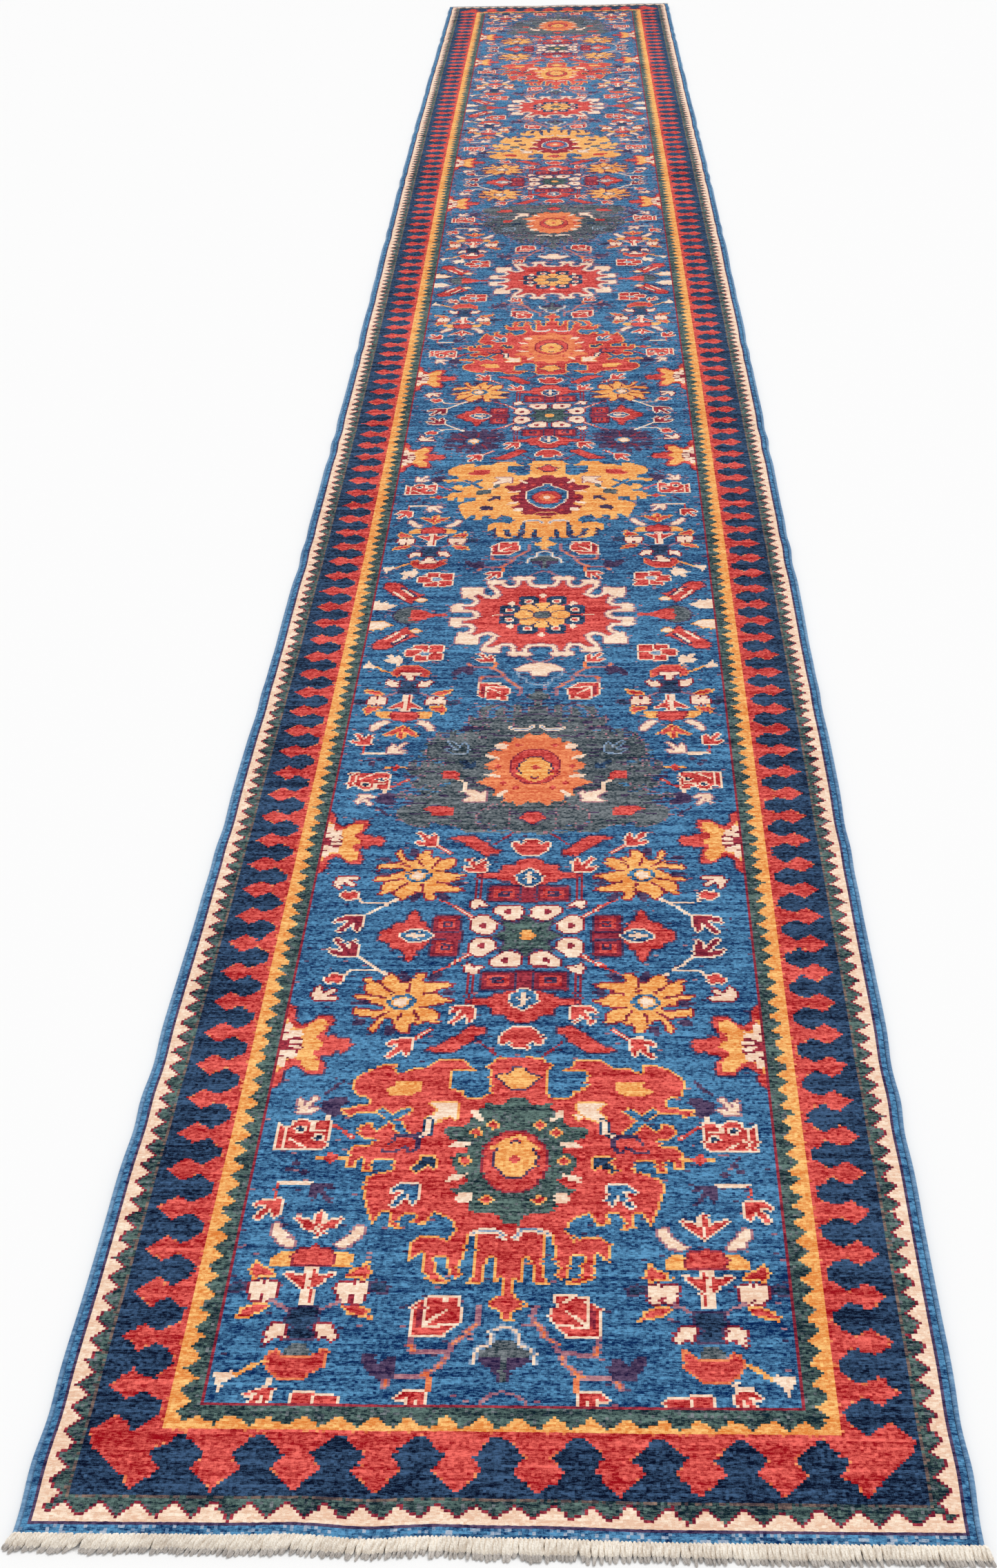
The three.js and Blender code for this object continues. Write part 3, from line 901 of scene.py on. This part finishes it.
BATCH = 40  # rows from one dye batch to the next; the pile is also painted paler up the rug, a painted sheen
wools = {name: wool(name) for name in WOOLS}
dice = np.random.default_rng(11)
streaks = np.zeros((ROWS, COLUMNS))
for spacing, strength in ((5, 0.20), (16, 0.30), (50, 0.16)):
    stops = dice.normal(size=(ROWS, COLUMNS // spacing + 3))
    at = np.arange(COLUMNS) / spacing + 0.5
    left, share = at.astype(int), at % 1
    streaks += strength * (stops[:, left] * (1 - share) + stops[:, left + 1] * share)
streaks += 0.3 * np.roll(streaks, 1, axis=0)
batch_rows = np.arange(0, ROWS + BATCH, BATCH)
batches_and_far_sheen = np.interp(np.arange(ROWS), batch_rows, dice.normal(size=len(batch_rows)))
# this ramp pales the pile towards the far end, where the view grazes it: painted sheen over the dye batches
batches_and_far_sheen += np.interp(np.arange(ROWS), (0, 500, 1500, 1900, ROWS), (-0.3, 0, 1.6, 3.2, 1.0))
dye_and_sheen_depth = 1.1 * streaks + 0.12 * batches_and_far_sheen[:, None] + 0.36 * dice.normal(size=streaks.shape) - 0.22
dye_and_sheen_depth = 0.5 + 0.5 * np.tanh(dye_and_sheen_depth) + 0.12 * (band == 0)

# The knots' grid, with one more square all round that folds down as the pile's cut sides.
BELOW_TOP = 0.0006
EDGE_FALL = 0.0011
UNEVEN = 0.00022
SUNK = 0.0002
knots = bmesh.new()
bmesh.ops.create_grid(knots, x_segments=COLUMNS + 2, y_segments=ROWS + 2, size=0.5)
pile_mesh = bpy.data.meshes.new("pile")
knots.to_mesh(pile_mesh)
knots.free()
place = points_of(pile_mesh)
map_column = np.rint((place[:, 0] + 0.5) * (COLUMNS + 2)) - 1
map_row = np.rint((place[:, 1] + 0.5) * (ROWS + 2)) - 1
column, row = map_column.clip(0, COLUMNS), map_row.clip(0, ROWS)
rim = (column != map_column) | (row != map_row)
place[:, 0] = (column / COLUMNS - 0.5) * WIDTH
place[:, 1] = (row / ROWS - 0.5) * LENGTH
edge_drop = np.minimum(np.minimum(column, COLUMNS - column), np.minimum(row, ROWS - row))
place[:, 2] = PILE_HIGH - BELOW_TOP - EDGE_FALL * np.exp(-edge_drop / 0.8)
place[:, 2] += dice.normal(0, UNEVEN, len(place))
place[rim, 2] = FOUNDATION_HIGH.z - SUNK
move_points(pile_mesh, lie(place))

# Each square finds its knot in the chart by the corner of it nearest the chart's first knot.
corners = np.empty(len(pile_mesh.polygons) * 4, np.int32)
pile_mesh.loops.foreach_get("vertex_index", corners)
square_column = column[corners].reshape(-1, 4).min(1).clip(0, COLUMNS - 1).astype(int)
square_row = row[corners].reshape(-1, 4).min(1).clip(0, ROWS - 1).astype(int)
square_wool = rug.wool[square_row, square_column]
square_band = band[square_row, square_column]

# the attribute holds the dye streaks and batches together with the painted sheen
dye = pile_mesh.attributes.new("dye", "FLOAT", "FACE")
dye.data.foreach_set("value", dye_and_sheen_depth[square_row, square_column].astype(np.float32))

# The piece's own map lays the long pile in nine lengths, three by three.
LENGTHS = 9
rows_each = math.ceil(ROWS / LENGTHS)
tile = square_row // rows_each
inside_x = (map_column[corners].reshape(-1, 4) + 1) / (COLUMNS + 2)
inside_y = (map_row[corners].reshape(-1, 4) - (tile * rows_each)[:, None] + 1) / (rows_each + 2)
map_x = (tile[:, None] % 3 + 0.01 + 0.98 * inside_x) / 3
map_y = (tile[:, None] // 3 + 0.01 + 0.98 * inside_y) / 3
pile_map = pile_mesh.uv_layers.new(name="OFBake")
pile_map.uv.foreach_set("vector", np.stack([map_x, map_y], 2).astype(np.float32).ravel())

# Each piece is one wool of one band, and a wool with too many knots is parted into lengths.
MOST_KNOTS = 92000
piece_number = np.zeros(len(square_row), np.int32)
made_pieces = []
for band_number, band_name in enumerate(BANDS):
    for wool_number, wool_name in enumerate(WOOLS):
        chosen = np.flatnonzero((square_band == band_number) & (square_wool == wool_number))
        if not len(chosen):
            continue
        chosen = chosen[np.argsort(square_row[chosen], kind="stable")]
        shares = math.ceil(len(chosen) / MOST_KNOTS)
        for share in range(shares):
            part = chosen[share * len(chosen) // shares:(share + 1) * len(chosen) // shares]
            piece_number[part] = len(made_pieces)
            name = f"{band_name}_knots_{wool_name}" + (f"_{share + 1}" if shares > 1 else "")
            made_pieces.append((name, band_name, wool_name))
for name, band_name, wool_name in made_pieces:
    copy = wools[wool_name].copy()
    copy.name = name
    pile_mesh.materials.append(copy)
pile_mesh.polygons.foreach_set("material_index", piece_number)
pile = bpy.data.objects.new("pile", pile_mesh)
bpy.context.collection.objects.link(pile)
bpy.ops.object.select_all(action="DESELECT")
bpy.context.view_layer.objects.active = pile
pile.select_set(True)
bpy.ops.mesh.separate(type="MATERIAL")
named_pieces = {made[0]: made for made in made_pieces}
for part in list(bpy.context.selected_objects):
    name, band_name, wool_name = named_pieces[part.data.materials[0].name]
    part.data.materials.clear()
    part.data.materials.append(wools[wool_name])
    part.name = part.data.name = name
    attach(part, "root")
    nodes = [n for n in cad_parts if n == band_name or n.startswith(band_name + "_")]
    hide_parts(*nodes)
    band_name + "_wool"
    part.select_set(False)
for spare in [m for m in bpy.data.materials if m.users == 0]:
    bpy.data.materials.remove(spare)

# ---------------------------------------------------------------------------------------------
# The selvedges: along each long edge a few warps are bundled as a core, and pale blue wool is
# wound over them turn by turn. The turns slant a little, and each stands out as a fine rib.
OVERCAST = (0.0030, 0.0029)  # half width and half height
TURN = 0.0030
RIB = 0.075
THICK_AND_THIN = 0.02


def rolled_tube(name, around, along, material, shape):
    """Rolls a grid into a closed tube; shape turns an angle and a share of the length into points."""
    tube = bmesh.new()
    bmesh.ops.create_grid(tube, x_segments=around, y_segments=along, size=0.5)
    piece = piece_of(tube, name, material)
    flat = points_of(piece.data)
    angle = np.rint((flat[:, 0] + 0.5) * around) / around * 2 * np.pi
    share = np.rint((flat[:, 1] + 0.5) * along) / along
    move_points(piece.data, shape(angle, share))
    joined = bmesh.new()
    joined.from_mesh(piece.data)
    bmesh.ops.remove_doubles(joined, verts=joined.verts, dist=1e-6)
    open_edges = [e for e in joined.edges if e.is_boundary]
    bmesh.ops.holes_fill(joined, edges=open_edges)
    bmesh.ops.recalc_face_normals(joined, faces=joined.faces)
    joined.to_mesh(piece.data)
    joined.free()
    return piece


def overcast_wool():
    material = new_material("selvedge_wool")
    place = node(material, "ShaderNodeTexCoord")[3]
    turns = node(material, "ShaderNodeMapping", None, {"Vector": place, "Scale": (60.0, 330.0, 60.0)})[0]
    shade = node(material, "ShaderNodeTexNoise", None, {"Vector": turns, "Scale": 1.0, "Detail": 2.0})[0]
    batch = node(material, "ShaderNodeTexNoise", None, {"Vector": place, "Scale": 6.0, "Detail": 1.0})[0]
    fibre = node(material, "ShaderNodeTexNoise", None, {"Vector": place, "Scale": 900.0, "Detail": 2.0})[0]
    depth = (shade - 0.5) * 2.2 + (batch - 0.5) * 1.2 + (fibre - 0.5) * 0.5 + 0.5
    colour = node(material, "ShaderNodeMix", {"data_type": "RGBA", "clamp_factor": True}, {
        0: depth, 6: swatch(62, 104, 146), 7: swatch(126, 164, 196)})[2]
    normal = node(material, "ShaderNodeBump", None, {
        "Strength": 0.5, "Distance": 0.0006, "Height": fibre})[0]
    finish_material(material, {"Base Color": colour, "Roughness": 0.88, "Normal": normal,
                               "Sheen Weight": 0.12, "Specular IOR Level": 0.2})
    return material


selvedge_wool = overcast_wool()
edge_pieces = []
for side, sign in (("left", -1), ("right", 1)):
    low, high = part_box("selvedge_overcast_" + side)
    middle = (low + high) / 2
    core_low, core_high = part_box("selvedge_core_" + side)

    def wound(angle, share, middle=middle, low=low, high=high, sign=sign):
        y = low.y + share * (high.y - low.y)
        turn = 2 * np.pi * y / TURN + sign * angle
        swell = 1 - RIB * (1 - np.cos(turn)) + THICK_AND_THIN * np.sin(y * 71) * np.sin(y * 23)
        x = middle.x - np.cos(angle) * OVERCAST[0] * swell
        z = middle.z + np.sin(angle) * OVERCAST[1] * swell
        return lie(np.stack([x, y, z], 1))

    def straight(angle, share, middle=middle, low=core_low, high=core_high):
        radius = (high.x - low.x) / 2
        y = low.y + share * (high.y - low.y)
        return lie(np.stack([middle.x - np.cos(angle) * radius, y, middle.z + np.sin(angle) * radius], 1))

    turns = round((high.y - low.y) / TURN)
    overcast = rolled_tube("selvedge_overcast_wool_" + side, 9, turns * 2, selvedge_wool, wound)
    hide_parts("selvedge_overcast_" + side)
    core = rolled_tube("selvedge_core_warps_" + side, 8, 160, foundation_cotton, straight)
    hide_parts("selvedge_core_" + side)
    edge_pieces += [overcast, core]
for piece in edge_pieces:
    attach(piece, "root")

# ---------------------------------------------------------------------------------------------
# The weft twining: at each end a pair of cotton cords is twisted across the warps, and locks the
# last rows of knots before the fringe begins.
TWIST = 0.009
fringe_cotton = cotton("fringe_cotton", swatch(206, 190, 172), swatch(255, 246, 232),
                       (1100.0, 420.0, 1100.0), 0.0006)
for end in ("near", "far"):
    low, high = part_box("weft_twining_" + end)
    middle = (low + high) / 2

    def twisted(angle, share, middle=middle, low=low, high=high):
        x = low.x + share * (high.x - low.x)
        radius = (high.z - low.z) / 2 * (0.82 + 0.16 * np.cos(2 * (angle + 2 * np.pi * x / TWIST)))
        return lie(np.stack([x, middle.y + np.cos(angle) * radius, middle.z + np.sin(angle) * radius], 1))

    twining = rolled_tube("weft_twining_cords_" + end, 12, 420, fringe_cotton, twisted)
    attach(twining, "root")
    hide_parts("weft_twining_" + end)


# ---------------------------------------------------------------------------------------------
# The fringe: the warps' own ends, cut under 2 cm past the knots. Stout twisted tufts leave the edge
# under the pile, round over and come down, over a thinner row of frayed ends in painted shade.
TUFT_PITCH = 0.0036
TUFT_LINE = ((0.0, 0.0060, 0.3), (0.15, 0.0066, 0.8), (0.35, 0.0060, 1.05), (0.6, 0.0048, 1.08),
             (0.8, 0.0036, 1.05), (0.94, 0.0028, 0.9), (1.0, 0.0024, 0.6))  # share, height, stoutness
FRAYED_LINE = ((0.0, 0.0026, 0.7), (0.5, 0.0024, 1.0), (0.9, 0.0014, 0.9), (1.0, 0.0012, 0.5))
LEANS = {"near": (-0.80, -0.55, -0.06, 0.20, 0.42), "far": (-0.20, -0.10, 0.0, 0.10, 0.20)}
PARTINGS = (-0.352, 0.022)  # at both ends
# the under row's grey cotton is painted shade, the shadow of the tufts above it
frayed_cotton = cotton("frayed_cotton", swatch(150, 142, 136), swatch(206, 198, 190),
                       (1500.0, 900.0, 1500.0), 0.0008)
# name, line, reach, girth, unevenness in reach, yarn
ROWS_OF_ENDS = (("fringe_tufts_", TUFT_LINE, 0.0132, 0.0025, 0.0006, fringe_cotton),
                ("fringe_frayed_ends_", FRAYED_LINE, 0.0176, 0.0019, 0.0012, frayed_cotton))

tuft = rolled_tube("tuft", 6, 8, fringe_cotton,
                   lambda angle, share: np.stack([-np.cos(angle), share, np.sin(angle)], 1))
spoke = points_of(tuft.data)
share = spoke[:, 1].clip(0, 1)
angle = np.arctan2(spoke[:, 2], spoke[:, 0])
for end, outward, edge_y in (("near", -1, FOUNDATION_LOW.y), ("far", 1, FOUNDATION_HIGH.y)):
    for name, line, reach, girth, uneven, yarn in ROWS_OF_ENDS:
        height, stoutness = (np.interp(share, [t[0] for t in line], [t[k] for t in line]) for k in (1, 2))
        first, last = -WIDTH / 2 - 0.0010, WIDTH / 2 + 0.0040
        count = round((last - first) / TUFT_PITCH)
        dice = np.random.default_rng(5 + outward)
        strands = bmesh.new()
        for _ in range(count):
            strands.from_mesh(tuft.data)
        fringe = piece_of(strands, name + end, yarn)
        start = np.linspace(first, last, count) + dice.normal(0, 0.0003, count)
        lean = np.interp(2 * start / WIDTH, (-1, -0.5, 0, 0.5, 1), LEANS[end]) + dice.normal(0, 0.06, count)
        for parting in PARTINGS:
            lean += 0.3 * np.sign(start - parting) * np.exp(-abs(start - parting) / 0.004)
        length = reach + 0.0006 * np.sin(start * 31) + dice.normal(0, uneven, count)
        stout = girth * dice.uniform(0.9, 1.12, count)
        lift = dice.normal(0, 0.0003, count)
        twist = dice.uniform(0, np.pi, count)
        start, lean, length, stout, lift, twist = (
            each[:, None] for each in (start, lean, length, stout, lift, twist))
        out = share * length
        ply = np.cos(2 * angle - 7.5 * share + twist)
        swell = stoutness * stout * (1 + 0.2 * ply)
        across, upward = spoke[:, 0] * swell, spoke[:, 2] * swell
        x = start + np.sin(lean) * out + np.cos(lean) * across
        y = edge_y + outward * (np.cos(lean) * out - np.sin(lean) * across - 0.0012)
        base = lie(np.stack([x.ravel(), np.full(x.size, edge_y), 0 * x.ravel()], 1)).reshape(*x.shape, 3)
        y += base[:, :, 1] - edge_y
        z = (height + lift * share + base[:, :, 2] * (1 - share) + upward).clip(0.0001)
        move_points(fringe.data, np.stack([base[:, :, 0], y, z], 2).reshape(-1, 3))
        # the same ply value swells the plies and gives the cotton its painted shade in the grooves
        plies = fringe.data.attributes.new("ply", "FLOAT", "POINT")
        plies.data.foreach_set("value", ply.astype(np.float32).ravel())
        if outward < 0:
            fringe.data.flip_normals()
        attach(fringe, "root")
        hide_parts(*(f"fringe_{end}_{run}" for run in range(1, 6)))
bpy.data.objects.remove(tuft)

# ---------------------------------------------------------------------------------------------
# The studio: a pale floor, an even white sky, and one broad soft light from above that comes from
# beyond the far end and a little from the right.
FLOOR_HALF = 40
SKY_STRENGTH = 0.72
LIGHT_STRENGTH = 1.35
floor_shape = bmesh.new()
bmesh.ops.create_grid(floor_shape, x_segments=1, y_segments=1, size=FLOOR_HALF)
floor_paint = new_material("studio_floor")
finish_material(floor_paint, {
    "Base Color": (0.90, 0.90, 0.90, 1), "Roughness": 0.9, "Specular IOR Level": 0.1})
floor = piece_of(floor_shape, "studio_floor", floor_paint)

sky = bpy.data.worlds.new("studio")
sky.use_nodes = True
sky.node_tree.nodes["Background"].inputs["Color"].default_value = (1, 1, 1, 1)
sky.node_tree.nodes["Background"].inputs["Strength"].default_value = SKY_STRENGTH
bpy.context.scene.world = sky
lamp = bpy.data.objects.new("studio_light", bpy.data.lights.new("studio_light", "SUN"))
lamp.data.energy = LIGHT_STRENGTH
lamp.data.angle = math.radians(25)
lamp.rotation_euler = (math.radians(-28), math.radians(16), 0)
bpy.context.collection.objects.link(lamp)
bpy.context.scene.view_settings.view_transform = "Standard"

# ---------------------------------------------------------------------------------------------
# The camera stands a little over a metre before the near end and 1.4 m above the floor, turned a
# little to the left and tilted down, with a touch of roll.
LENS = 46.13
STAND = (0.0757, -4.5913, 1.437)
TILT_YAW_ROLL = (31.2, -2.71, -1.53)
camera = bpy.data.objects.new("camera", bpy.data.cameras.new("camera"))
camera.data.sensor_width = 36
camera.data.lens = LENS
camera.data.clip_end = 100
pitch, yaw, roll = (math.radians(angle) for angle in TILT_YAW_ROLL)
forward = Vector((math.sin(yaw) * math.cos(pitch), math.cos(yaw) * math.cos(pitch), -math.sin(pitch)))
level = Vector((math.cos(yaw), -math.sin(yaw), 0))
upward = level.cross(forward)
right = math.cos(roll) * level + math.sin(roll) * upward
up = math.cos(roll) * upward - math.sin(roll) * level
camera.matrix_world = Matrix((right, up, -forward)).transposed().to_4x4()
camera.location = STAND
bpy.context.collection.objects.link(camera)
bpy.context.scene.camera = camera

bpy.context.view_layer.update()
